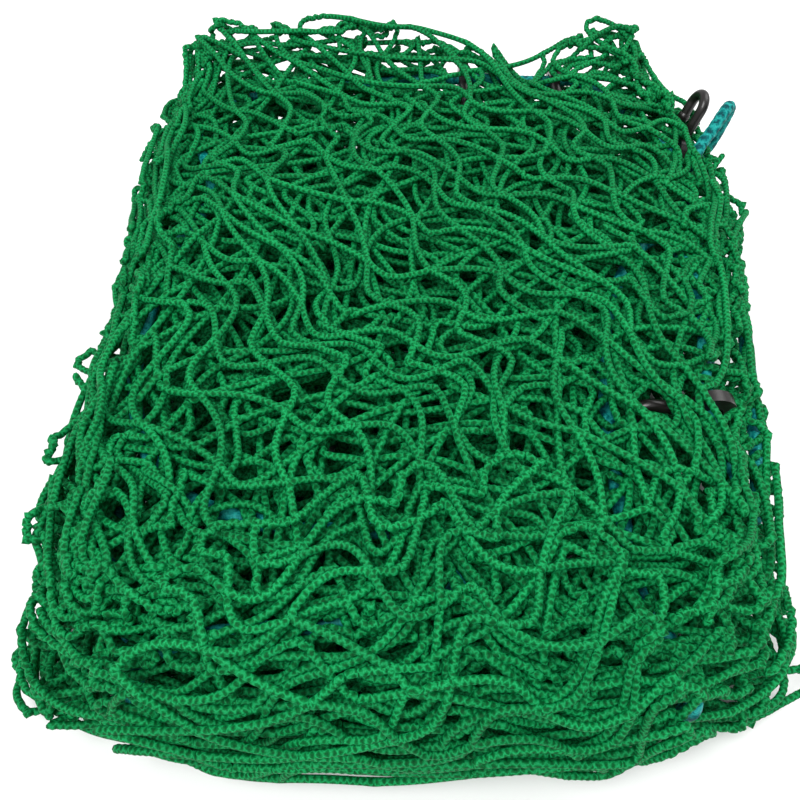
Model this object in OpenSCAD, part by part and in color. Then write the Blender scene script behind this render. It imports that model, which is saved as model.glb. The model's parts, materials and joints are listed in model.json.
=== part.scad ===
// Folded net: a pack of knotless braided netting whose last fold is like a book's, about its
// front edge. An edge rope runs inside the three open edges, and hooks are threaded on it.

/* [Pack] */
// Height of the lower half of the pack, up to the fold
half_h = 48.8; // [44:0.2:48.8]
// Height at which the upper half starts to round over
shoulder_z = 74; // [70:1:78]
// Height of the top of the netting
crown_z = 96; // [90:1:100]
// How far the foot of the pack is drawn in from its widest outline
foot_inset = 9; // [4:1:14]
// How far the outline is drawn in at the fold between the halves
seam_inset = 4; // [2:1:8]
// How far the outline is drawn in at the shoulder
shoulder_inset = 12; // [8:1:18]
// How far the outline is drawn in at the top
crown_inset = 38; // [30:1:44]
// Radius of the pack's corners in plan
corner_r = 26; // [16:1:30]

/* [Edge rope] */
// Diameter of the braided edge rope
rope_d = 7; // [6:0.5:7]
// Space left round the rope inside the netting
rope_play = 0.5; // [0.4:0.1:1]

/* [Hooks] */
// Diameter of the round bar of a hook
bar_d = 6; // [5:0.5:6]
// Diameter of the hole in a hook's eye
eye_hole_d = 8.8; // [8.6:0.1:9.4]
// Distance from the eye's centre to where the bend starts
shank_len = 27; // [25:1:28]
// Clear width of a hook's mouth
mouth_w = 9; // [8:0.5:9]
// Length of the straight bar between the bend and the tip
tip_len = 9; // [7:1:10]
// Diameter of the ball on a hook's tip
tip_d = 7.4; // [6.4:0.2:7.4]
// Space left round a hook inside the netting
hook_play = 1.6; // [1.4:0.1:2]

/* [Hidden] */

netting_green = "#15904a";
rope_turquoise = "#12a092";
hook_black = "#1c1c1e";

seam_gap = 0.4;                  // the halves' clearance at the fold
slice_h = 0.4;                   // thickness of the slices that a half is drawn over
widest_z = 16;                   // height at which the pack is widest
facets = 32;
rope_sides = 8;
bar_r = bar_d / 2;
eye_r = eye_hole_d / 2 + bar_r;  // radius of the eye's centre line
bend_r = mouth_w / 2 + bar_r;    // radius of the bend's centre line
tip_r = tip_d / 2;
hook_top = shank_len + bend_r + bar_r;

// Plan of the pack where it is widest: narrow at the front fold, wide at the open back
outline = [[-163, -186], [-140, -207], [-90, -217], [0, -222], [80, -217], [128, -200], [150, -170],
           [188, 110], [187, 172], [150, 222], [-150, 222], [-180, 196], [-188, 20], [-177, -150]];

// Centre line of the rope in the upper half: from the left of the front fold, across the front,
// back along the left, along the open back edge, out in a bight at the back right corner,
// and in three runs along the right side to the front fold again
upper_route = [[-110, -203, 55], [-112, -192, 62], [-90, -184, 72], [-50, -182, 78], [-4, -176, 79],
               [10, -160, 79], [-8, -144, 78], [-60, -140, 76], [-110, -118, 74], [-136, -60, 72],
               [-132, 20, 76], [-118, 66, 79], [-132, 116, 77], [-142, 158, 68], [-112, 186, 66],
               [-60, 191, 71], [-20, 190, 76], [8, 189, 78], [28, 189, 78], [48, 189, 78],
               [68, 188, 77], [87, 188, 77], [106, 188, 76], [130, 174, 68], [141, 142, 69.5],
               [149, 126.8, 68], [157, 126, 65], [165, 125.4, 62], [173, 121, 71], [180, 125, 92],
               [177, 121, 99], [168, 110, 92], [158, 98, 82], [154, 78, 66], [162, 40, 58], [166, 0, 56],
               [158, -50, 56], [146, -104, 57], [136, -128, 62], [129, -112, 72], [126, -92, 74],
               [126, -68, 74], [134, -30, 75], [136, 10, 77], [126, 34, 75], [110, 22, 73],
               [90, -20, 72], [80, -80, 71], [80, -150, 66], [92, -188, 60], [96, -201, 55]];

// Centre line of the rope in the lower half, which closes the ring round the open edges
lower_route = [[-110, -203, 43], [-118, -186, 32], [-144, -120, 28], [-160, 0, 26], [-167, 110, 28],
               [-160, 170, 26], [-120, 196, 28], [0, 196, 26], [110, 196, 28], [166, 176, 26],
               [172, 110, 28], [158, 0, 26], [136, -120, 28], [104, -184, 32], [96, -201, 43]];

// Each hook: the point on the rope that its eye rides on, the turn of its plane about Z, its lean from
// upright in that plane, the tilt of that plane, the two ends of its swing, and how far its pocket
// opens upwards
hook_back_right_at = [[157, 126, 65], -90, -10, -20, -36, 8, 14];
hook_back_middle_at = [[87, 188, 77], 90, -80, 0, 0, 10, 0];
hook_back_left_at = [[28, 189, 78], 90, -80, 0, 0, 10, 0];
hook_right_side_at = [[126, -80, 74], 0, -84, 0, 0, 8, 30];
HOOKS = [hook_back_right_at, hook_back_middle_at, hook_back_left_at, hook_right_side_at];

function unit(v) = v / norm(v);
function heading(p, i) = unit(p[min(i + 1, len(p) - 1)] - p[max(i - 1, 0)]);

// A direction square to the heading, carried along the route so that the rings don't twist
function carried(side, way) = unit(side - (side * way) * way);
function sides(p, i = 0, side = [0.3, 0.2, 1], done = []) =
    i == len(p) ? done
    : let (s = carried(side, heading(p, i))) sides(p, i + 1, s, concat(done, [s]));

// A tube of round section swept along the route's points, with flat ends
module tube(p, r) {
    n = len(p);
    s = sides(p);
    ring = rope_sides;
    points = [for (i = [0 : n - 1], k = [0 : ring - 1])
        let (u = s[i], v = cross(heading(p, i), u), a = 360 * k / ring)
            p[i] + r * (cos(a) * u + sin(a) * v)];
    walls = [for (i = [0 : n - 2], k = [0 : ring - 1])
        let (j = (k + 1) % ring)
            [i * ring + k, (i + 1) * ring + k, (i + 1) * ring + j, i * ring + j]];
    first = [for (k = [0 : ring - 1]) k];
    last = [for (k = [ring - 1 : -1 : 0]) (n - 1) * ring + k];
    polyhedron(points = points, faces = concat(walls, [first, last]), convexity = 8);
}

// The pack's outline drawn in by inset, as a thin slice at height z
module slice(z, inset) {
    translate([0, 0, z])
        linear_extrude(slice_h)
            offset(r = corner_r, $fn = facets)
                offset(delta = -corner_r - inset)
                    polygon(outline);
}

// Where a rope runs through a half of the netting
module rope_way(route) {
    tube(route, rope_d / 2 + rope_play);
}

// A box round a hook in its own frame, with room to move
module hook_room() {
    low = -eye_r - bar_r - hook_play;
    left = -2 * bend_r - max(bar_r, tip_r) - hook_play;
    translate([left, -bar_r - hook_play, low])
        cube([eye_r + bar_r + hook_play - left, bar_d + 2 * hook_play, hook_top + hook_play - low]);
}

// Puts its children at a hook's place, swung by extra degrees
module at_hook(h, extra = 0) {
    translate(h[0])
        rotate([0, 0, h[1]])
            rotate([h[3], 0, 0])
                rotate([0, h[2] + extra, 0])
                    children();
}

// The space that a hook sweeps as it swings, with what its pocket opens above it
module swing_room(h) {
    hull()
        for (share = [0, 0.5, 1], lift = [0, h[6]])
            translate([0, 0, lift])
                at_hook(h, h[4] + (h[5] - h[4]) * share)
                    hook_room();
}

// The lower half of the folded netting, a plain closed stand-in for its layers
module netting_lower_half() {
    color(netting_green)
        difference() {
            hull() {
                slice(0, foot_inset);
                slice(widest_z, 0);
                slice(half_h - slice_h, seam_inset);
            }
            rope_way(lower_route);
        }
}

// The upper half, which opens about the front fold
module netting_upper_half() {
    color(netting_green)
        difference() {
            hull() {
                slice(half_h + seam_gap, seam_inset);
                slice(shoulder_z, shoulder_inset);
                slice(crown_z - slice_h, crown_inset);
            }
            rope_way(upper_route);
            for (h = HOOKS)
                swing_room(h);
        }
}

module edge_rope_lower() {
    color(rope_turquoise)
        tube(lower_route, rope_d / 2);
}

module edge_rope_upper() {
    color(rope_turquoise)
        tube(upper_route, rope_d / 2);
}

// A one-piece hook: a flat eye for the rope, a straight round shank, a bend and a short ball tip
module hook() {
    difference() {
        union() {
            rotate([90, 0, 0])
                cylinder(r = eye_r + bar_r, h = bar_d, center = true, $fn = 64);
            cylinder(r = bar_r, h = shank_len, $fn = facets);
            translate([-bend_r, 0, shank_len])
                rotate([90, 0, 0])
                    rotate_extrude(angle = 180, $fn = 48)
                        translate([bend_r, 0])
                            circle(r = bar_r, $fn = facets);
            translate([-2 * bend_r, 0, shank_len - tip_len])
                cylinder(r = bar_r, h = tip_len, $fn = facets);
            translate([-2 * bend_r, 0, shank_len - tip_len])
                sphere(r = tip_r, $fn = facets);
        }
        rotate([90, 0, 0])
            cylinder(d = eye_hole_d, h = 2 * bar_d, center = true, $fn = 64);
    }
}

module placed_hook(h) {
    color(hook_black)
        at_hook(h)
            hook();
}

module hook_back_right() { placed_hook(hook_back_right_at); }
module hook_back_middle() { placed_hook(hook_back_middle_at); }
module hook_back_left() { placed_hook(hook_back_left_at); }
module hook_right_side() { placed_hook(hook_right_side_at); }

netting_lower_half();
netting_upper_half();
edge_rope_lower();
edge_rope_upper();
hook_back_right();
hook_back_middle();
hook_back_left();
hook_right_side();
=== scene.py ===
import json
import math

import bpy
import numpy as np
from mathutils import Matrix, Vector
from mathutils.bvhtree import BVHTree


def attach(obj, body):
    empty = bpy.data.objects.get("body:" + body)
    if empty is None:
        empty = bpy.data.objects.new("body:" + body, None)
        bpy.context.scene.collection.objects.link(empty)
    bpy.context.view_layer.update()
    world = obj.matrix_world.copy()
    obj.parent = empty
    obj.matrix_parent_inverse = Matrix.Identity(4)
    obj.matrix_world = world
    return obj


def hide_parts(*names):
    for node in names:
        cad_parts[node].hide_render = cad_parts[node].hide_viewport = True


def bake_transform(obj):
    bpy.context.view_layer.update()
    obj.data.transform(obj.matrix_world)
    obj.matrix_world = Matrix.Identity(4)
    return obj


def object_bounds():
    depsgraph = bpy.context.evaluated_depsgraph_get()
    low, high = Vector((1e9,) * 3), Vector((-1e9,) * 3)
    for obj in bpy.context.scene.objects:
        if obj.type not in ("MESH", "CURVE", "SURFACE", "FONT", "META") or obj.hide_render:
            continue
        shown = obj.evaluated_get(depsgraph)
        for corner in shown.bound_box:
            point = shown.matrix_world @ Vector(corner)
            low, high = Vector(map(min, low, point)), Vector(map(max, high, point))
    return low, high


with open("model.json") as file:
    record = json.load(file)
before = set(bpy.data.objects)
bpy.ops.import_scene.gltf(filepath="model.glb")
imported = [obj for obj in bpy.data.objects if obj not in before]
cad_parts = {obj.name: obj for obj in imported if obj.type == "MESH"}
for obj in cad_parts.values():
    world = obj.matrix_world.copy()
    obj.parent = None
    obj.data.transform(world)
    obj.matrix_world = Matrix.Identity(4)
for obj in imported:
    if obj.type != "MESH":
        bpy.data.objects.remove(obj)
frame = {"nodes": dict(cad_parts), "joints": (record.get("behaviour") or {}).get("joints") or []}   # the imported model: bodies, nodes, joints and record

# A folded pack of knotless braided netting. The strands of the netting are chains of points: they are
# laid out layer by layer on a diamond mesh, settled against each other, and swept as braided tubes.
# The CAD's hooks are kept, and its netting and rope are replaced.

cad_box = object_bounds()
rng = np.random.default_rng(7)

# ---------------------------------------------------------------- sizes, in metres
TWINE_R = 0.0015          # radius of the netting's twine
LEG = 0.045               # length of one side of a mesh
STEPS = 12                # straight steps that a leg is settled in
ROPE_R = 0.0035           # radius of the edge rope
HOLLOWS = 14              # hollows of the braid along a leg
RELIEF = 0.08             # half the depth of those hollows, as a share of the twine's radius
FLUFF = 1.17              # how much wider the loose yarns look than the twine's firm core
SWELL = 0.10              # how much thicker a leg is at its ends, where the twines are joined
REACH = TWINE_R * FLUFF * (1 + SWELL)     # from a strand's centre line to the outside of its yarns
TOUCH = 2 * TWINE_R       # distance between the centre lines of two twines that touch
FOLD_Z = 0.049            # height of the fold between the two halves
FOLD_Y = -0.222           # where that fold's crease is
FLOOR_GAP = 0.0001        # space left between the strands and the surface that the pack lies on
ROOF_Z = 0.1090           # no strand's centre line goes higher

# The pack's plan where it is widest, as in the CAD source
OUTLINE = np.array([
    [-163, -186], [-140, -207], [-90, -217], [0, -222], [80, -217], [128, -200],
    [150, -170], [188, 110], [187, 172], [150, 222], [-150, 222], [-180, 196],
    [-188, 20], [-177, -150]]) / 1000
FRONT_LINE = OUTLINE[:7]  # its part along the front fold, from left to right
# How far the plan is drawn in at each height, for the heights in INSET_Z
INSET_Z = [0.000, 0.016, 0.049, 0.074, 0.096]
INSET = [0.009, 0.003, 0.006, 0.012, 0.034]

# The rope's route, as in the CAD source
UPPER_ROUTE = np.array([
    [-110, -203, 55], [-112, -192, 62], [-90, -184, 72], [-50, -182, 78], [-4, -176, 79],
    [10, -160, 79], [-8, -144, 78], [-60, -140, 76], [-110, -118, 74], [-136, -60, 72],
    [-132, 20, 76], [-118, 66, 79], [-132, 116, 77], [-142, 158, 68], [-112, 186, 66],
    [-60, 191, 71], [-20, 190, 76], [8, 189, 78], [28, 189, 78], [48, 189, 78],
    [68, 188, 77], [87, 188, 77], [106, 188, 76], [130, 174, 68], [141, 142, 69.5],
    [149, 126.8, 68], [157, 126, 65], [165, 125.4, 62], [173, 121, 71], [180, 125, 92],
    [177, 121, 99], [168, 110, 92], [158, 98, 82], [154, 78, 66], [162, 40, 58],
    [166, 0, 56], [158, -50, 56], [146, -104, 57], [136, -128, 62], [129, -112, 72],
    [126, -92, 74], [126, -68, 74], [134, -30, 75], [136, 10, 77], [126, 34, 75],
    [110, 22, 73], [90, -20, 72], [80, -80, 71], [80, -150, 66], [92, -188, 60],
    [96, -201, 55]]) / 1000
LOWER_ROUTE = np.array([
    [-110, -203, 43], [-118, -186, 32], [-144, -120, 28], [-160, 0, 26], [-167, 110, 28],
    [-160, 170, 26], [-120, 196, 28], [0, 196, 26], [110, 196, 28], [166, 176, 26],
    [172, 110, 28], [158, 0, 26], [136, -120, 28], [104, -184, 32], [96, -201, 43]]) / 1000


# ---------------------------------------------------------------- the pack's shape
def smooth_step(t):
    t = np.clip(t, 0, 1)
    return t * t * (3 - 2 * t)


def edge_of(points):
    """How far inside the outline each point in plan is, and the outward direction there.
    Corners are rounded."""
    soft = 0.007              # how far from a corner its rounding reaches
    a, b = OUTLINE, np.roll(OUTLINE, -1, axis=0)
    out = np.stack([(b - a)[:, 1], -(b - a)[:, 0]], 1)
    out /= np.linalg.norm(out, axis=1)[:, None]
    inside = -((points[:, None, :] - a[None]) * out[None]).sum(2)
    low = inside.min(1, keepdims=True)
    weight = np.exp(-(inside - low) / soft)
    total = weight.sum(1)
    depth = low[:, 0] - soft * np.log(total)
    way = (weight[:, :, None] * out[None]).sum(1)
    return depth, way / np.linalg.norm(way, axis=1)[:, None]


def ripple(xy, size, count=5):
    """A smooth random field over the plan, about -1 to 1, with waves about size long."""
    angle = rng.uniform(0, 2 * math.pi, count)
    wave = 2 * math.pi / (size * rng.uniform(0.7, 1.4, count))
    phase = rng.uniform(0, 2 * math.pi, count)
    value = np.zeros(len(xy))
    for a, w, p in zip(angle, wave, phase):
        value += np.sin((xy[:, 0] * math.cos(a) + xy[:, 1] * math.sin(a)) * w + p)
    return value / math.sqrt(count)


# ---------------------------------------------------------------- the net: junctions, legs and points
class Net:
    """Legs of twine between shared junctions. For each sheet, points holds its junctions first
    and then each leg's own points. index[leg] lists a leg's STEPS + 1 points, before and after
    hold the points next to its ends along the twine, and group holds its piece's name."""

    def __init__(self):
        self.points = []
        self.index = []
        self.before = []
        self.after = []
        self.group = []
        self.size = 0

    def add(self, junctions, legs, curves, name):
        """Adds a sheet: how many junctions, the legs as [start, end, kind] rows, and the curves as
        [legs, STEPS + 1, 3], which share their ends."""
        start, end, kind = legs.T
        ends = np.zeros((junctions, 3))
        ends[start] = curves[:, 0]
        ends[end] = curves[:, -1]
        base = self.size
        own = base + junctions + np.arange(len(legs) * (STEPS - 1)).reshape(len(legs), STEPS - 1)
        index = np.concatenate([base + start[:, None], own, base + end[:, None]], 1)
        # the leg that goes on from each junction along the same twine, or any other leg where
        # there is none
        table = np.full((junctions, 4), -1)
        table[start, kind * 2] = index[:, 1]
        table[end, kind * 2 + 1] = index[:, -2]
        others = {0: (1, 3, 2), 1: (0, 2, 3), 2: (3, 1, 0), 3: (2, 0, 1)}
        near = []
        for at, which in ((start, kind * 2), (end, kind * 2 + 1)):
            found = np.full(len(legs), -1)
            for slot in range(4):
                mine = which == slot
                for other in others[slot]:
                    free = mine & (found < 0)
                    found[free] = table[at[free], other]
            near.append(found)
        self.before.append(np.where(near[0] < 0, index[:, 0], near[0]))
        self.after.append(np.where(near[1] < 0, index[:, -1], near[1]))
        self.points += [ends, curves[:, 1:-1].reshape(-1, 3)]
        self.index.append(index)
        self.group += [name] * len(legs)
        self.size += junctions + len(legs) * (STEPS - 1)

    def close(self):
        self.points = np.concatenate(self.points)
        self.index = np.concatenate(self.index)
        self.before = np.concatenate(self.before)
        self.after = np.concatenate(self.after)
        self.group = np.array(self.group)


def hermite(a, b, ta, tb, steps):
    """Curves from a to b with end tangents ta and tb, stretched so that each curve is LEG long."""
    t = np.linspace(0, 1, steps + 1)[None, :, None]
    h00, h10 = 2 * t**3 - 3 * t**2 + 1, t**3 - 2 * t**2 + t
    h01, h11 = -2 * t**3 + 3 * t**2, t**3 - t**2
    low, high = np.full(len(a), 0.2), np.full(len(a), 6.0)     # the stretch is found by halving
    chord = np.linalg.norm(b - a, axis=1)
    for _ in range(12):
        pull = (low + high) / 2
        m = (pull * chord)[:, None, None]
        curve = h00 * a[:, None] + h10 * m * ta[:, None] + h01 * b[:, None] + h11 * m * tb[:, None]
        length = np.linalg.norm(np.diff(curve, axis=1), axis=2).sum(1)
        low, high = np.where(length < LEG, pull, low), np.where(length < LEG, high, pull)
    return curve


def diamond_mesh(side_a, side_b, turn, span, jitter, warp, inside_of):
    """A flat diamond mesh: its junctions, its legs as [start, end, kind] rows, and each junction's
    two directions. side_a and side_b are half a mesh's width and height, jitter and warp are how
    far junctions stray one by one and in waves, and inside_of tells from their places in plan
    which junctions to keep."""
    wave = 0.13               # how long the waves are that the mesh strays in
    ni, nj = int(span[0] / side_a), int(span[1] / side_b)
    i, j = np.meshgrid(np.arange(-ni, ni + 1), np.arange(-nj, nj + 1), indexing="ij")
    keep = (i + j) % 2 == 0
    i, j = i[keep], j[keep]
    flat = np.stack([i * side_a, j * side_b], 1)
    flat += rng.normal(0, jitter, flat.shape)
    spots = flat @ np.array([[math.cos(turn), math.sin(turn)], [-math.sin(turn), math.cos(turn)]])
    spots += warp * np.stack([ripple(spots, wave), ripple(spots, wave)], 1)
    inside = inside_of(spots)
    order = {pair: k for k, pair in enumerate(zip(i.tolist(), j.tolist()))}
    legs = []
    for (a, b), k in order.items():
        for kind, step in ((0, 1), (1, -1)):
            other = order.get((a + 1, b + step))
            if other is not None and inside[k] and inside[other]:
                legs.append((k, other, kind))
    legs = np.array(legs)
    while True:                          # no leg is left hanging by one end
        count = np.bincount(legs[:, :2].ravel(), minlength=len(flat))
        hanging = (count[legs[:, 0]] < 2) | (count[legs[:, 1]] < 2)
        if not hanging.any():
            break
        legs = legs[~hanging]
    used, names = np.unique(legs[:, :2], return_inverse=True)
    legs[:, :2] = names.reshape(-1, 2)
    spots = spots[used]
    # every other junction is turned the other way, so that a twine winds and its neighbours
    # wind beside it; turned, uneven, stray and steep are angles
    turned, uneven, stray, steep = 0.62, 0.30, 0.14, 0.08
    wind = np.where(i[used] % 2 == 0, 1, -1) * (turned + uneven * ripple(spots, 0.11))
    facing = turn + wind + rng.normal(0, stray, len(spots))
    open_angle = math.atan2(side_b, side_a) * rng.uniform(0.85, 1.12, len(spots))
    tilt = rng.normal(0, steep, (len(spots), 2))
    ways = []
    for kind, sign in ((0, 1), (1, -1)):
        angle = facing + sign * open_angle
        way = np.stack([np.cos(angle), np.sin(angle), tilt[:, kind]], 1)
        ways.append(way / np.linalg.norm(way, axis=1)[:, None])
    return spots, legs, np.array(ways)


def leg_curves(spots, legs, ways):
    """Each leg's curve between its two junctions, as [legs, STEPS + 1, 3]."""
    start, end, kind = legs.T
    return hermite(spots[start], spots[end], ways[kind, start], ways[kind, end], STEPS)


def looseness(xy, way):
    """1 along the open back edge, where the upper layers lie loose and high, and 0 elsewhere and
    in its one dip."""
    dip_x, dip_size = 0.070, 0.022
    dip = np.exp(-((xy[:, 0] - dip_x) / dip_size) ** 2)
    at_back = smooth_step((xy[:, 1] - 0.12) / 0.08)
    facing_back = smooth_step((way[:, 1] - 0.55) / 0.35)
    return at_back * facing_back * (1 - dip)


def turn_over(distance, radius):
    """A sheet that ends at 0 turns over on a half circle and comes back: how far out a point at
    distance past the edge lies, and how high. Inside, distance is negative and nothing changes."""
    past = np.maximum(distance, 0)
    angle = np.minimum(past / radius, math.pi)
    back = np.maximum(past - math.pi * radius, 0)
    out = np.where(distance < 0, distance, radius * np.sin(angle) - back)
    return out, radius * (1 - np.cos(angle))


def lay_sheet(net, name, z, side_a, side_b, turn, flap):
    """One folded layer of netting at height z over the whole plan. Its edges turn back over it by
    flap, and it is gathered towards them."""
    gather, width = 0.45, 0.030          # how closely it is gathered, and over what distance
    border = flap + gather * width
    rise = max(z - 0.060, 0)             # layers above this height droop at their edges
    loose_inset = 0.010                  # how far in the loose back edge lies
    droop_size, lift_size = 0.016, 0.030

    def placed(xy):
        """How far past its edge each point is, the outward direction, and how loose it lies."""
        depth, way = edge_of(xy)
        loose = looseness(xy, way)
        inset = np.interp(z, INSET_Z, INSET)
        return inset - loose * max(inset - loose_inset, 0) + TWINE_R - depth, way, loose

    spots, legs, ways = diamond_mesh(
        side_a, side_b, turn, (0.33, 0.33), 0.0022, 0.012,
        lambda xy: placed(xy)[0] < border * (1 + 0.25 * ripple(xy, 0.15)))
    spots = np.column_stack([spots, rng.normal(0, 0.0012, len(spots))])
    curves = leg_curves(spots, legs, ways)
    p = curves.reshape(-1, 3)
    past, way, loose = placed(p[:, :2])
    uneven = 0.003 * ripple(p[:, :2], 0.10) + 0.002 * ripple(p[:, :2], 0.04)
    gathered = past - gather * (1 - 0.7 * loose) * width * np.exp(-(border - past) / width)
    out, up = turn_over(gathered + uneven, rng.uniform(0.0022, 0.0038))
    p[:, :2] += (out - past)[:, None] * way
    droop = 0.4 * rise * (1 - loose) * np.exp(np.minimum(out, 0) / droop_size)
    lift = 0.3 * rise * loose * np.exp(np.minimum(out, 0) / lift_size)
    p[:, 2] += z + up - droop + lift
    net.add(len(spots), legs, p.reshape(len(legs), STEPS + 1, 3), name)


# The front of the pack from its foot over the fold and onto the top: distance in from the
# outline, and height
FRONT = np.array([
    [0.0070, 0.0025], [0.0010, 0.0150], [0.0005, 0.0300], [0.0005, 0.0490], [0.0030, 0.0620],
    [0.0090, 0.0760], [0.0190, 0.0880], [0.0330, 0.0955], [0.0600, 0.0975], [0.1000, 0.0975]])


def lay_cover(net, name, sink, from_s, to_s):
    """A sheet of netting over the front of the pack, which carries on from the lower half into the
    upper one. It runs from from_s to to_s along FRONT, and lies sink deeper than FRONT does."""
    run = np.concatenate([[0], np.cumsum(np.linalg.norm(np.diff(FRONT, axis=0), axis=1))])
    middle, half = (from_s + to_s) / 2, (to_s - from_s) / 2
    middle_x, half_width = -0.010, 0.122
    spots, legs, ways = diamond_mesh(
        rng.uniform(0.0125, 0.0150), rng.uniform(0.030, 0.034),
        math.radians(90 + rng.uniform(-16, 16)), (0.30, 0.30), 0.0025, 0.010,
        lambda xs: (abs(xs[:, 0] - middle_x) < half_width * (1 + 0.06 * ripple(xs, 0.10)))
        & (abs(xs[:, 1]) < half * (1 + 0.1 * ripple(xs, 0.12))))
    spots = np.column_stack([spots, rng.normal(0, 0.0010, len(spots))])
    p = leg_curves(spots, legs, ways).reshape(-1, 3)
    along = np.clip(p[:, 1] + middle, 0, run[-1])
    inward, height = np.interp(along, run, FRONT[:, 0]), np.interp(along, run, FRONT[:, 1])
    crest = smooth_step((along - 0.055) / 0.03)           # 0 on the front face, 1 on the top
    x = p[:, 0] * (1 - inward / 0.20)
    y = np.interp(x, *FRONT_LINE.T) + inward + (1 - crest) * (sink + p[:, 2])
    net.add(len(spots), legs, np.stack([x, y, height - crest * sink + p[:, 2] * crest], 1)
            .reshape(len(legs), STEPS + 1, 3), name)


def pull(net, name, place, by, size):
    """Pulls points round place by a vector, the nearest the most, in each layer whose name starts
    with name."""
    rows = np.unique(net.index[np.char.startswith(net.group, name)])
    share = np.exp(-((net.points[rows] - np.array(place)) ** 2).sum(1) / size ** 2)
    net.points[rows] += share[:, None] * np.array(by)


# ---------------------------------------------------------------- settling
def close_pairs(points, reach):
    """Pairs of points nearer than reach. Each point is looked for in its own cell of a grid and in
    half of the cells round it."""
    cell = np.floor(points / reach).astype(np.int64)
    cell -= cell.min(0) - 1
    wide = cell.max(0) + 2
    key = (cell[:, 0] * wide[1] + cell[:, 1]) * wide[2] + cell[:, 2]
    order = np.argsort(key, kind="stable")
    ordered = key[order]
    steps = [(0, 0, 0), (0, 0, 1)] + [(0, 1, k) for k in (-1, 0, 1)] + \
            [(1, j, k) for j in (-1, 0, 1) for k in (-1, 0, 1)]
    found = []
    for step in steps:
        target = ordered + (step[0] * wide[1] + step[1]) * wide[2] + step[2]
        first = np.searchsorted(ordered, target, "left")
        last = np.searchsorted(ordered, target, "right")
        if step == (0, 0, 0):
            first = np.arange(len(ordered)) + 1
        count = np.maximum(last - first, 0)
        a = np.repeat(np.arange(len(ordered)), count)
        b = np.arange(count.sum()) - np.repeat(np.cumsum(count) - count, count) + np.repeat(first, count)
        pair = np.stack([order[a], order[b]], 1)
        gap = points[pair[:, 0]] - points[pair[:, 1]]
        found.append(pair[(gap * gap).sum(1) < reach * reach])
    return np.concatenate(found)


def pairs_to(points, fixed, room, margin):
    """Pairs of a point and a fixed ball nearer than the ball's own room and a margin."""
    found = []
    beside, batch = 0.02, 2000
    low, high = fixed.min(0) - beside, fixed.max(0) + beside
    near = np.flatnonzero(((points > low) & (points < high)).all(1))
    for k in range(0, len(near), batch):
        rows = near[k:k + batch]
        gap = np.linalg.norm(points[rows][:, None] - fixed[None], axis=2)
        a, b = np.nonzero(gap < room[None] + margin)
        found.append(np.stack([rows[a], b], 1))
    return np.concatenate(found)


FALL = 0.00004            # how far the strands sink in a round of settling
PAIRS_EVERY = 6           # rounds between two searches for twines that may touch


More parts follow.
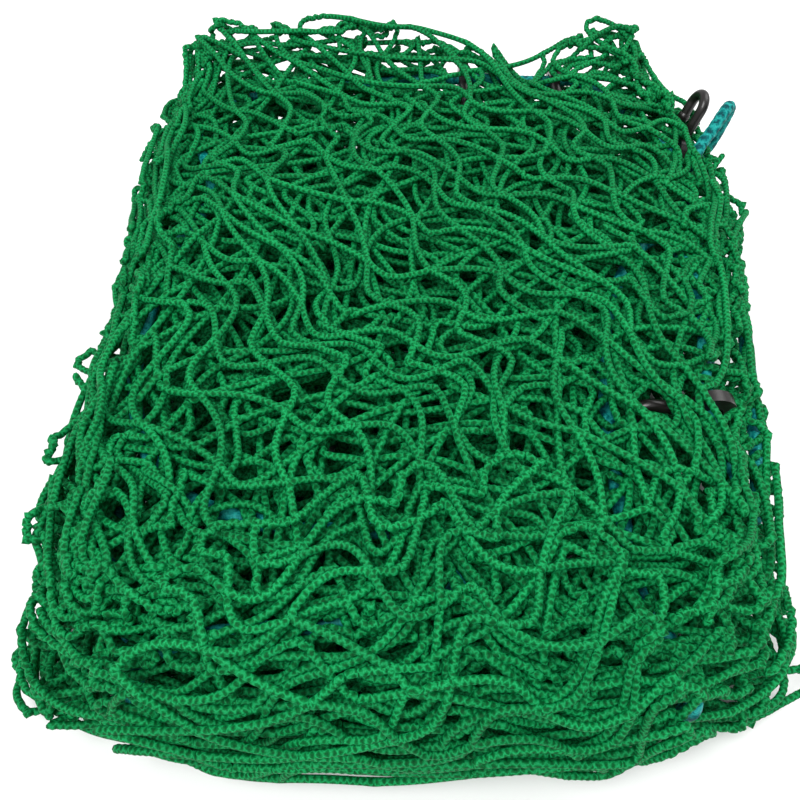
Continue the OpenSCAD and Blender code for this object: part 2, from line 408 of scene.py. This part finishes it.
def settle(net, fixed, room, floor, roof, rounds):
    """Moves the points so that legs keep their length, bend smoothly, and twines rest on each
    other. fixed and room are balls that they keep out of, and floor and roof bound each point's
    height."""
    p = net.points
    index = net.index
    # which leg a point is on and how far along it, and its nearest junction and the steps to it:
    # points that lie close along a twine aren't in contact
    leg_of = np.full(len(p), -1)
    leg_of[index[:, 1:-1]] = np.arange(len(index))[:, None]
    along = np.zeros(len(p), int)
    along[index[:, 1:-1]] = np.arange(1, STEPS)[None]
    home = np.arange(len(p))
    steps_home = np.zeros(len(p), int)
    half = STEPS // 2
    home[index[:, 1:half]] = index[:, :1]
    steps_home[index[:, 1:half]] = np.arange(1, half)[None]
    home[index[:, half:-1]] = index[:, -1:]
    steps_home[index[:, half:-1]] = np.arange(STEPS - half, 0, -1)[None]
    chain = np.concatenate([net.before[:, None], index, net.after[:, None]], 1)
    a, b = index[:, :-1].ravel(), index[:, 1:].ravel()
    rest = LEG / STEPS
    uses = np.bincount(np.concatenate([a, b]), minlength=len(p)).astype(float)
    fixed_pairs = pairs_to(p, fixed, room, 0.006)

    def spread(rows, moves):
        out = np.empty_like(p)
        for k in range(3):
            out[:, k] = np.bincount(rows, weights=moves[:, k], minlength=len(p))
        return out

    for turn in range(rounds):
        if turn % PAIRS_EVERY == 0:
            pairs = close_pairs(p, TOUCH * 1.5)
            x, y = pairs.T
            same_leg = (leg_of[x] == leg_of[y]) & (leg_of[x] >= 0) & (abs(along[x] - along[y]) <= 2)
            same_home = (home[x] == home[y]) & (steps_home[x] + steps_home[y] <= 4)
            x, y = pairs[~(same_leg | same_home)].T
        for _ in range(2):
            gap = p[b] - p[a]
            far = np.linalg.norm(gap, axis=1)
            move = gap * (0.5 * (far - rest) / far)[:, None]
            p += (spread(a, move) - spread(b, move)) / uses[:, None] * 1.2
        # bending: each point moves part of the way to the middle of those gap steps away
        for gap, share in ((1, 0.25), (2, 0.10)):
            mid = chain[:, gap:-gap]
            aim = (p[chain[:, :-2 * gap]] + p[chain[:, 2 * gap:]]) / 2 - p[mid]
            count = np.bincount(mid.ravel(), minlength=len(p))
            p += spread(mid.ravel(), aim.reshape(-1, 3) * share) / np.maximum(count, 1)[:, None]
        # contact between twines
        gap = p[y] - p[x]
        far = np.maximum(np.linalg.norm(gap, axis=1), 1e-5)
        push = np.maximum(TOUCH - far, 0) * 0.5
        hit = push > 0
        move = gap[hit] * (push[hit] / far[hit])[:, None]
        number = np.bincount(x[hit], minlength=len(p)) + np.bincount(y[hit], minlength=len(p))
        p += (spread(y[hit], move) - spread(x[hit], move)) / np.maximum(number, 1)[:, None] * 1.6
        # contact with fixed balls
        gap = p[fixed_pairs[:, 0]] - fixed[fixed_pairs[:, 1]]
        far = np.maximum(np.linalg.norm(gap, axis=1), 1e-5)
        push = np.maximum(room[fixed_pairs[:, 1]] - far, 0)
        hit = push > 0
        move = gap[hit] * (push[hit] / far[hit])[:, None]
        number = np.bincount(fixed_pairs[hit, 0], minlength=len(p))
        p += spread(fixed_pairs[hit, 0], move) / np.maximum(number, 1)[:, None]
        p[:, 2] = np.clip(p[:, 2] - FALL, floor, roof)
        p[:, 1] = np.maximum(p[:, 1], FOLD_Y + TWINE_R)
    net.points = p


# ---------------------------------------------------------------- tubes
def catmull_rom(n, rings):
    """Weights that turn n + 3 control points, of which one more at each end, into rings + 1 points
    on a smooth curve, and those that turn them into its slopes."""
    t = np.linspace(0, n, rings + 1)
    k = np.minimum(t.astype(int), n - 1)
    u = t - k
    place = np.zeros((rings + 1, n + 3))
    slope = np.zeros((rings + 1, n + 3))
    parts = [(-u + 2 * u**2 - u**3) / 2, (2 - 5 * u**2 + 3 * u**3) / 2,
             (u + 4 * u**2 - 3 * u**3) / 2, (u**3 - u**2) / 2]
    slopes = [(-1 + 4 * u - 3 * u**2) / 2, (-10 * u + 9 * u**2) / 2,
              (1 + 8 * u - 9 * u**2) / 2, (3 * u**2 - 2 * u) / 2]
    rows = np.arange(rings + 1)
    for m in range(4):
        place[rows, k + m] += parts[m]
        slope[rows, k + m] += slopes[m]
    return place, slope


def weave(turn, along):
    """How proud a braid's surface stands, from 0 in the hollows between its yarns to 1 on them.
    turn goes once round the twine, and along counts the hollows, which lie in four columns that
    take turns."""
    return 1 - abs(np.cos(4 * math.pi * turn) + 0.8 * np.cos(2 * math.pi * along)) / 1.8


def sweep(controls, radius, rings, sides, relief, hollows, swell=0.0):
    """Braided tubes along rows of control points, each with so many hollows along it. Returns
    points, four-sided faces, the fans that close the ends, the place in the weave of the corners
    of each, and a random shade for each tube."""
    end_share, cap = 0.14, 0.6           # the part of a tube that swells, and how far its ends bulge
    place, slope = catmull_rom(controls.shape[1] - 3, rings)
    centre = np.einsum("rk,lkc->lrc", place, controls)
    way = np.einsum("rk,lkc->lrc", slope, controls)
    way /= np.maximum(np.linalg.norm(way, axis=2, keepdims=True), 1e-9)
    count = len(controls)
    side = np.empty_like(centre)
    first = np.cross(way[:, 0], rng.normal(0, 1, (count, 3)))
    side[:, 0] = first / np.linalg.norm(first, axis=1)[:, None]
    for k in range(1, rings + 1):
        s = side[:, k - 1] - (side[:, k - 1] * way[:, k]).sum(1)[:, None] * way[:, k]
        side[:, k] = s / np.linalg.norm(s, axis=1)[:, None]
    other = np.cross(way, side)
    turn = np.arange(sides + 1) / sides
    along = np.arange(rings + 1) / rings
    angle = 2 * math.pi * turn[:-1]
    crest = weave(turn[None, :-1], hollows * along[:, None])
    bulge = 1 + swell * (smooth_step(1 - along / end_share)
                         + smooth_step(1 - (1 - along) / end_share))
    size = radius * (1 - 2 * relief * (1 - crest)) * bulge[:, None]
    spokes = np.cos(angle)[None, None, :, None] * side[:, :, None] + \
        np.sin(angle)[None, None, :, None] * other[:, :, None]
    skin = centre[:, :, None] + size[None, :, :, None] * spokes
    per = (rings + 1) * sides + 2
    points = np.concatenate([skin.reshape(count, -1, 3), centre[:, :1] - way[:, :1] * radius * cap,
                             centre[:, -1:] + way[:, -1:] * radius * cap], 1).reshape(-1, 3)
    k, s = np.meshgrid(np.arange(rings), np.arange(sides), indexing="ij")
    quad = np.stack([k * sides + s, k * sides + (s + 1) % sides,
                     (k + 1) * sides + (s + 1) % sides, (k + 1) * sides + s], 2).reshape(-1, 4)
    woven = np.stack([np.stack([turn[s + ds], hollows * along[k + dk]], 2)
                      for dk, ds in ((0, 0), (0, 1), (1, 1), (1, 0))], 2).reshape(-1, 2)
    s = np.arange(sides)
    start_fan = np.stack([np.full(sides, per - 2), (s + 1) % sides, s], 1)
    end_fan = np.stack([np.full(sides, per - 1), rings * sides + s,
                        rings * sides + (s + 1) % sides], 1)
    base = np.arange(count)[:, None, None] * per
    quads = (base + quad[None]).reshape(-1, 4)
    fans = (base + np.concatenate([start_fan, end_fan])[None]).reshape(-1, 3)
    ends = np.zeros((fans.size, 2))
    shade = np.repeat(rng.uniform(0, 1, count), per)
    return points, quads, fans, np.tile(woven, (count, 1)), ends, shade


def make_piece(name, parts, material):
    """One mesh object from several results of sweep."""
    points = np.concatenate([q[0] for q in parts])
    woven = np.concatenate([q[3] for q in parts] + [q[4] for q in parts])
    shade = np.concatenate([q[5] for q in parts])
    offset = np.cumsum([0] + [len(q[0]) for q in parts])
    quads = np.concatenate([q[1] + o for q, o in zip(parts, offset)])
    fans = np.concatenate([q[2] + o for q, o in zip(parts, offset)])
    mesh = bpy.data.meshes.new(name)
    corners = np.concatenate([quads.ravel(), fans.ravel()]).astype(np.int32)
    sizes = np.concatenate([np.full(len(quads), 4), np.full(len(fans), 3)])
    mesh.vertices.add(len(points))
    mesh.vertices.foreach_set("co", points.astype(np.float32).ravel())
    mesh.loops.add(len(corners))
    mesh.loops.foreach_set("vertex_index", corners)
    mesh.polygons.add(len(sizes))
    mesh.polygons.foreach_set("loop_start", (np.cumsum(sizes) - sizes).astype(np.int32))
    mesh.polygons.foreach_set("use_smooth", np.ones(len(sizes), bool))
    mesh.update(calc_edges=True)
    mesh.attributes.new("shade", "FLOAT", "POINT").data.foreach_set("value", shade.astype(np.float32))
    woven = np.column_stack([woven, np.zeros(len(woven))]).astype(np.float32)
    mesh.attributes.new("weave", "FLOAT_VECTOR", "CORNER").data.foreach_set("vector", woven.ravel())
    mesh.materials.append(material)
    piece = bpy.data.objects.new(name, mesh)
    bpy.context.scene.collection.objects.link(piece)
    return piece


def lengthened(line):
    """The line with one more point at each end, straight on."""
    return np.concatenate([2 * line[:1] - line[1:2], line, 2 * line[-1:] - line[-2:-1]])


def smooth_route(route, steps):
    """The route's points and steps - 1 more between each two, on a smooth curve."""
    weights = catmull_rom(len(route) - 1, steps * (len(route) - 1))[0]
    return np.einsum("rk,kc->rc", weights, lengthened(route))


# ---------------------------------------------------------------- materials
class Nodes:
    """A material and short ways to add nodes to it."""

    def __init__(self, name):
        self.material = bpy.data.materials.new(name)
        self.material.use_nodes = True
        self.tree = self.material.node_tree
        self.shader = self.tree.nodes["Principled BSDF"]

    def add(self, kind, **settings):
        node = self.tree.nodes.new(kind)
        for key, value in settings.items():
            if key in node.inputs:
                node.inputs[key].default_value = value
            else:
                setattr(node, key, value)
        return node

    def link(self, a, b):
        self.tree.links.new(a, b)

    def maths(self, operation, *values):
        """A maths node's result; each value is a number or another node's output."""
        node = self.add("ShaderNodeMath", operation=operation)
        for slot, value in zip(node.inputs, values):
            if isinstance(value, (int, float)):
                slot.default_value = value
            else:
                self.link(value, slot)
        return node.outputs[0]


def braided(name, dark, mid, light, roughness, grain):
    """Braided twine: painted highlights where its yarns and fibres stand proud, painted shade between.
    """
    n = Nodes(name)
    n.shader.inputs["Base Color"].default_value = (*mid, 1)
    n.shader.inputs["Roughness"].default_value = roughness
    n.shader.inputs["Specular IOR Level"].default_value = 0.08
    where = n.add("ShaderNodeTexCoord")
    woven = n.add("ShaderNodeAttribute", attribute_name="weave")
    place = n.add("ShaderNodeSeparateXYZ")
    n.link(woven.outputs["Vector"], place.inputs[0])
    stray = n.add("ShaderNodeTexNoise", Scale=420.0, Detail=1.0)    # yarns stray from their places
    n.link(where.outputs["Object"], stray.inputs["Vector"])
    apart = n.add("ShaderNodeSeparateXYZ")
    n.link(stray.outputs["Color"], apart.inputs[0])
    turn = n.maths("MULTIPLY_ADD", apart.outputs["X"], 0.22, place.outputs["X"])
    along = n.maths("MULTIPLY_ADD", apart.outputs["Y"], 0.90, place.outputs["Y"])
    round_it = n.maths("COSINE", n.maths("MULTIPLY", turn, 4 * math.pi))
    along_it = n.maths("COSINE", n.maths("MULTIPLY", along, 2 * math.pi))
    off_yarn = n.maths("ABSOLUTE", n.maths("MULTIPLY_ADD", along_it, 0.8, round_it))
    proud = n.maths("MULTIPLY_ADD", off_yarn, -1 / 1.8, 1.0)      # as in weave()
    shade = n.add("ShaderNodeAttribute", attribute_name="shade")
    fibre = n.add("ShaderNodeTexNoise", Scale=grain, Detail=3.0, Roughness=0.6)
    n.link(where.outputs["Object"], fibre.inputs["Vector"])
    patch = n.add("ShaderNodeTexNoise", Scale=38.0, Detail=2.0)
    n.link(where.outputs["Object"], patch.inputs["Vector"])
    height = n.maths("MULTIPLY_ADD", fibre.outputs["Fac"], 1.3, proud)
    share = n.maths("MULTIPLY", height, 0.5)
    # the dark stop is painted shade in the hollows, the light stop painted highlights on proud yarns
    shade_and_highlight_ramp = n.add("ShaderNodeValToRGB")
    stops = shade_and_highlight_ramp.color_ramp.elements
    stops[0].position, stops[0].color = 0.34, (*dark, 1)
    stops[1].position, stops[1].color = 0.90, (*light, 1)
    stops.new(0.60).color = (*mid, 1)
    n.link(share, shade_and_highlight_ramp.inputs["Fac"])
    vary = n.maths("ADD", shade.outputs["Fac"], patch.outputs["Fac"])
    value = n.add("ShaderNodeMapRange")
    value.inputs["From Min"].default_value = 0.2
    value.inputs["From Max"].default_value = 1.8
    value.inputs["To Min"].default_value = 0.78
    value.inputs["To Max"].default_value = 1.18
    n.link(vary, value.inputs["Value"])
    tone = n.add("ShaderNodeHueSaturation")
    n.link(shade_and_highlight_ramp.outputs["Color"], tone.inputs["Color"])
    n.link(value.outputs["Result"], tone.inputs["Value"])
    n.link(tone.outputs["Color"], n.shader.inputs["Base Color"])
    bump = n.add("ShaderNodeBump", Strength=0.5, Distance=0.0002)
    n.link(height, bump.inputs["Height"])
    n.link(bump.outputs["Normal"], n.shader.inputs["Normal"])
    return n.material


def moulded(name, colour, roughness):
    """Satin moulded plastic with a faint orange-peel skin."""
    n = Nodes(name)
    n.shader.inputs["Base Color"].default_value = (*colour, 1)
    n.shader.inputs["Roughness"].default_value = roughness
    where = n.add("ShaderNodeTexCoord")
    skin = n.add("ShaderNodeTexNoise", Scale=900.0, Detail=2.0)
    n.link(where.outputs["Object"], skin.inputs["Vector"])
    wear = n.add("ShaderNodeTexNoise", Scale=120.0, Detail=3.0)
    n.link(where.outputs["Object"], wear.inputs["Vector"])
    mix = n.add("ShaderNodeMixRGB")
    mix.inputs["Color1"].default_value = (*colour, 1)
    mix.inputs["Color2"].default_value = (*[2.2 * c + 0.006 for c in colour], 1)
    n.link(wear.outputs["Fac"], mix.inputs["Fac"])
    n.link(mix.outputs["Color"], n.shader.inputs["Base Color"])
    bump = n.add("ShaderNodeBump", Strength=0.25, Distance=0.0002)
    n.link(skin.outputs["Fac"], bump.inputs["Height"])
    n.link(bump.outputs["Normal"], n.shader.inputs["Normal"])
    return n.material


# dark is painted shade in the braid's hollows, and light is painted highlight on its proud yarns
netting_green = braided("netting_green", dark=(0.0002, 0.062, 0.014), mid=(0.0003, 0.147, 0.034),
                        light=(0.010, 0.31, 0.100), roughness=0.60, grain=1500.0)
rope_turquoise = braided("rope_turquoise", dark=(0.0005, 0.045, 0.055), mid=(0.001, 0.15, 0.145),
                         light=(0.02, 0.36, 0.32), roughness=0.45, grain=1100.0)
hook_black = moulded("hook_black", (0.0035, 0.0024, 0.0022), 0.30)

# ---------------------------------------------------------------- what the strands keep clear of
# each hook's node and its joint
HOOKS = {"hook_back_right": "back_right_hook_turn", "hook_back_middle": "back_middle_hook_turn",
         "hook_back_left": "back_left_hook_turn", "hook_right_side": "right_side_hook_turn"}


def swing(node, joint, turn_step):
    """The points of a hook's mesh, the centre and axis that it swings about, and angles over its
    swing, at most turn_step degrees apart."""
    row = next(j for j in frame["joints"] if j["name"] == joint)
    co = np.array([v.co for v in frame["nodes"][node].data.vertices])
    low, high = row["range_deg"]
    angles = np.linspace(low, high, 2 + int((high - low) / turn_step))
    return co, Vector(row["pos_m"]), Vector(row["axis"]), angles


def swept_balls(node, joint):
    """Points over a hook's surface at several angles of its swing."""
    cell = 0.0025
    co, centre, axis, angles = swing(node, joint, 8)
    cells = np.unique(np.round(co / cell).astype(int), axis=0) * cell
    found = []
    for angle in angles:
        turn = np.array(Matrix.Rotation(math.radians(angle), 3, axis))
        found.append((cells - np.array(centre)) @ turn.T + np.array(centre))
    return np.concatenate(found)


def in_hooks_way(controls):
    """Which legs pass through the space that a hook fills at some angle of its swing."""
    beside = 0.006            # points further than this from all that a hook reaches are clear
    legs, found = controls[:, 1:-1], np.zeros(len(controls), bool)
    for node, joint in HOOKS.items():
        co, centre, axis, angles = swing(node, joint, 4)
        surface = BVHTree.FromObject(frame["nodes"][node], bpy.context.evaluated_depsgraph_get())
        reach = np.linalg.norm(co - np.array(centre), axis=1).max() + beside
        near = np.linalg.norm(legs - np.array(centre), axis=2) < reach
        for angle in angles:
            back = Matrix.Rotation(math.radians(-angle), 3, axis)
            for leg, k in np.argwhere(near & ~found[:, None]):
                point = back @ (Vector(legs[leg, k]) - centre) + centre
                at, normal, _, distance = surface.find_nearest(point)
                if distance < REACH or (point - at).dot(normal) < 0:
                    found[leg] = True
    return found


rope_line = smooth_route(UPPER_ROUTE, 12)
low_line = smooth_route(LOWER_ROUTE, 24)
hook_balls = np.concatenate([swept_balls(n, j) for n, j in HOOKS.items()])
all_fixed = np.concatenate([rope_line, low_line, hook_balls])
all_room = np.concatenate([np.full(len(rope_line) + len(low_line), ROPE_R + TWINE_R),
                           np.full(len(hook_balls), TWINE_R + 0.0015)])

# ---------------------------------------------------------------- the two halves of the netting
ROUNDS = 45        # of settling
# height of each layer, and how many degrees its meshes are turned from lying along X
LAYERS = {"lower": [(0.0028, 20), (0.0065, -35), (0.0110, 50), (0.0160, -20), (0.0215, 40),
                    (0.0275, -60), (0.0335, 30), (0.0390, -45), (0.0440, 25)],
          "upper": [(0.0530, -25), (0.0590, 40), (0.0655, -55), (0.0720, 30), (0.0780, -40),
                    (0.0830, 62), (0.0870, -35), (0.0905, 55), (0.0935, -48)]}
# the lowest and highest that a strand's centre line may lie
CLEAR = {"lower": (REACH + FLOOR_GAP, FOLD_Z - REACH),
         "upper": (FOLD_Z + REACH, ROOF_Z),
         "front": (REACH + FLOOR_GAP, ROOF_Z)}
TOP_Z = 0.099             # height of the pack's top, apart from what stands out of it
SKIN = 0.015              # how deep below the pack's surface the strands are braided

# Where loose meshes stand out of the pack: layer, place, how far they are pulled, and the size
# of the pull
PULLS = [
    ["lower_fold_5", (-0.186, -0.078, 0.0215), (-0.024, 0.002, 0.004), 0.016],
    ["lower_fold_4", (-0.184, -0.124, 0.0160), (-0.022, -0.004, 0.002), 0.015],
    ["lower_fold_7", (-0.180, -0.060, 0.0335), (-0.016, 0, 0.004), 0.013],
    ["lower_fold_3", (-0.172, -0.168, 0.0110), (-0.018, -0.010, 0), 0.014],
    ["lower_fold_6", (-0.182, -0.098, 0.0275), (-0.018, 0, 0.002), 0.012],
    ["lower_fold_4", (0.152, -0.172, 0.0160), (0.014, -0.008, 0), 0.014],
    ["lower_fold_2", (0.148, -0.188, 0.0065), (0.014, -0.010, 0), 0.013],
    ["upper_fold_1", (-0.172, -0.040, 0.0530), (-0.014, 0.002, 0.002), 0.012],
    ["upper_fold_2", (0.170, -0.020, 0.0590), (0.012, 0, 0.004), 0.012],
    ["upper_fold_3", (0.176, 0.045, 0.0655), (0.010, 0, 0.004), 0.012],
    ["upper_fold_9", (-0.135, 0.200, 0.0960), (-0.006, 0.008, 0.002), 0.012],
    ["upper_fold_8", (-0.105, 0.208, 0.0940), (0, 0.010, 0.002), 0.013],
    ["upper_fold_9", (-0.070, 0.210, 0.0980), (0, 0.012, 0.002), 0.013],
    ["upper_fold_9", (-0.020, 0.210, 0.0980), (0, 0.008, 0.002), 0.012],
    ["upper_fold_8", (0.015, 0.210, 0.0960), (0, 0.008, 0.002), 0.013],
    ["upper_fold_9", (0.115, 0.208, 0.0980), (0.002, 0.012, 0.002), 0.014],
    ["upper_fold_8", (0.142, 0.200, 0.0920), (0.006, 0.010, 0.002), 0.012],
    ["upper_fold_9", (0.146, 0.118, 0.0930), (0.017, 0.002, 0.003), 0.013],
    ["upper_fold_8", (0.150, 0.130, 0.0880), (0.008, -0.004, 0.004), 0.010],
    # broad pulls that shape the whole pack: fuller front corners, the left side drawn in, the
    # right side let out, and a dip in the back edge
    ["lower", (-0.155, -0.188, 0.0100), (-0.018, -0.008, 0), 0.042],
    ["lower", (0.146, -0.180, 0.0100), (0.017, -0.009, 0), 0.044],
    ["front", (-0.130, -0.205, 0.0200), (-0.007, 0, 0), 0.040],
    ["front", (0.115, -0.200, 0.0200), (0.009, 0, 0), 0.040],
    ["lower", (-0.188, 0.010, 0.0350), (0.010, 0, 0), 0.085],
    ["upper", (-0.184, 0.010, 0.0550), (0.012, 0, 0), 0.085],
    ["upper", (0.170, 0.060, 0.0620), (0.012, 0, 0.002), 0.060],
    ["upper", (0.066, 0.205, 0.0920), (0, -0.014, -0.012), 0.020]]
# A cut end of twine that sticks out at the back right
STUB = np.array([
    [160, 86, 58], [164, 90, 66], [168, 94, 73], [172, 98, 78], [175, 101, 81],
    [178, 104, 84]]) / 1000
# The sheets over the front fold: how deep each lies, and where along FRONT it starts and ends
COVERS = [(0.0060, 0.004, 0.120), (0.0045, 0.002, 0.150), (0.0015, 0.004, 0.170),
          (-0.0012, 0.010, 0.180)]

net = Net()
for half in ("lower", "upper"):
    for k, (z, turn) in enumerate(LAYERS[half]):
        lay_sheet(net, f"netting_{half}_fold_{k + 1}", z,
                  side_a=rng.uniform(0.0125, 0.0155), side_b=rng.uniform(0.029, 0.034),
                  turn=math.radians(90 + turn), flap=rng.uniform(0.014, 0.026))
for cover in COVERS:
    lay_cover(net, "netting_front_fold", *cover)
net.close()
for name, place, by, size in PULLS:
    pull(net, f"netting_{name}", place, by, size)
bounds = {name: CLEAR[name.split("_")[1]] for name in set(net.group.tolist())}
low, high = np.zeros(len(net.points)), np.zeros(len(net.points))
leg_bounds = np.array([bounds[name] for name in net.group])
low[net.index], high[net.index] = leg_bounds[:, :1], leg_bounds[:, 1:]
settle(net, all_fixed, all_room, low, high, ROUNDS)

controls = net.points[np.concatenate([net.before[:, None], net.index, net.after[:, None]], 1)]
free = ~in_hooks_way(controls)      # sides of meshes in a hook's way are left out
# legs near the skin of their half are braided, and those deep inside are plain
middle = controls[:, 1:-1].mean(1)
depth = np.minimum(edge_of(middle[:, :2])[0] - np.interp(middle[:, 2], INSET_Z, INSET),
                   np.minimum(middle[:, 2] - leg_bounds[:, 0],
                              np.minimum(leg_bounds[:, 1], TOP_Z) - middle[:, 2]))
skin = (depth < SKIN) | (net.group == "netting_front_fold")
for name in sorted(bounds):
    mine = (net.group == name) & free
    parts = []
    for rows, rings, sides, relief in ((mine & skin, 2 * HOLLOWS, 8, RELIEF),
                                       (mine & ~skin, 15, 6, 0.0)):
        if rows.any():
            parts.append(sweep(controls[rows], TWINE_R * FLUFF, rings, sides, relief, HOLLOWS,
                               SWELL))
    if name == "netting_upper_fold_5":
        parts.append(sweep(STUB[None], TWINE_R * FLUFF, 14, 8, RELIEF, 6))
    piece = make_piece(name, parts, netting_green)
    if name == "netting_front_fold":
        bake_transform(piece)
        continue
    half = name.split("_")[1]
    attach(piece, f"{half}_half")
    if name.endswith("fold_1"):
        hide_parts(f"netting_{half}_half")

# ---------------------------------------------------------------- the edge rope
ROPE_RING = 0.0008        # distance between two rings of the rope's mesh
ROPE_HOLLOW = 0.0105      # distance between two hollows of its braid


def rope(name, line):
    """The braided rope along a smooth line, whose first and last points only set how it starts
    and ends."""
    length = np.linalg.norm(np.diff(line[1:-1], axis=0), axis=1).sum()
    rings = int(length / ROPE_RING)
    braid = sweep(line[None], ROPE_R, rings, 16, 0.05, length / ROPE_HOLLOW)
    piece = make_piece(name, [braid], rope_turquoise)
    return piece


for half, route in (("lower", LOWER_ROUTE), ("upper", UPPER_ROUTE)):
    line = smooth_route(route, 4)
    piece = rope(f"edge_rope_{half}_braid", lengthened(line))
    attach(piece, f"{half}_half")
    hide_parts(f"edge_rope_{half}")
for side, end in (("left", 0), ("right", -1)):
    step = 1 if end == 0 else -1
    piece = rope(f"edge_rope_{side}_crossing", np.array([
        LOWER_ROUTE[end + step], LOWER_ROUTE[end], UPPER_ROUTE[end], UPPER_ROUTE[end + step]]))
    place = LOWER_ROUTE[end]
    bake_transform(piece)

# ---------------------------------------------------------------- hooks
for node in HOOKS:
    mesh = frame["nodes"][node]
    mesh.data.materials.clear()
    mesh.data.materials.append(hook_black)

# ---------------------------------------------------------------- floor, light and camera
FLOOR_DROP = 0.0003       # the floor lies just under the pack
bpy.ops.mesh.primitive_plane_add(size=6, location=(0, 0, cad_box[0].z - FLOOR_DROP))
floor = bpy.context.object
floor.name = "floor"
paper = Nodes("paper")
paper.shader.inputs["Base Color"].default_value = (0.86, 0.86, 0.86, 1)
paper.shader.inputs["Roughness"].default_value = 0.9
floor.data.materials.append(paper.material)


def area_light(name, place, size, power):
    """A square light that faces the origin."""
    data = bpy.data.lights.new(name, "AREA")
    data.size = size
    data.energy = power
    lamp = bpy.data.objects.new(name, data)
    lamp.location = place
    lamp.rotation_euler = (-Vector(place)).to_track_quat("-Z", "Y").to_euler()
    bpy.context.scene.collection.objects.link(lamp)


area_light("key", (-0.5, -0.7, 1.6), 0.9, 26)
area_light("fill", (0.9, 0.5, 1.4), 1.2, 12)
world = bpy.data.worlds.new("studio")
bpy.context.scene.world = world
world.use_nodes = True
world.node_tree.nodes["Background"].inputs["Color"].default_value = (1, 1, 1, 1)
world.node_tree.nodes["Background"].inputs["Strength"].default_value = 0.75
bpy.context.scene.view_settings.view_transform = "Standard"

lens = bpy.data.cameras.new("camera")
lens.lens = 35.1
lens.sensor_width = 36
camera = bpy.data.objects.new("camera", lens)
camera.location = (-0.013, -0.291, 0.351)
camera.rotation_euler = (math.radians(38), 0, 0)
bpy.context.scene.collection.objects.link(camera)
bpy.context.scene.camera = camera
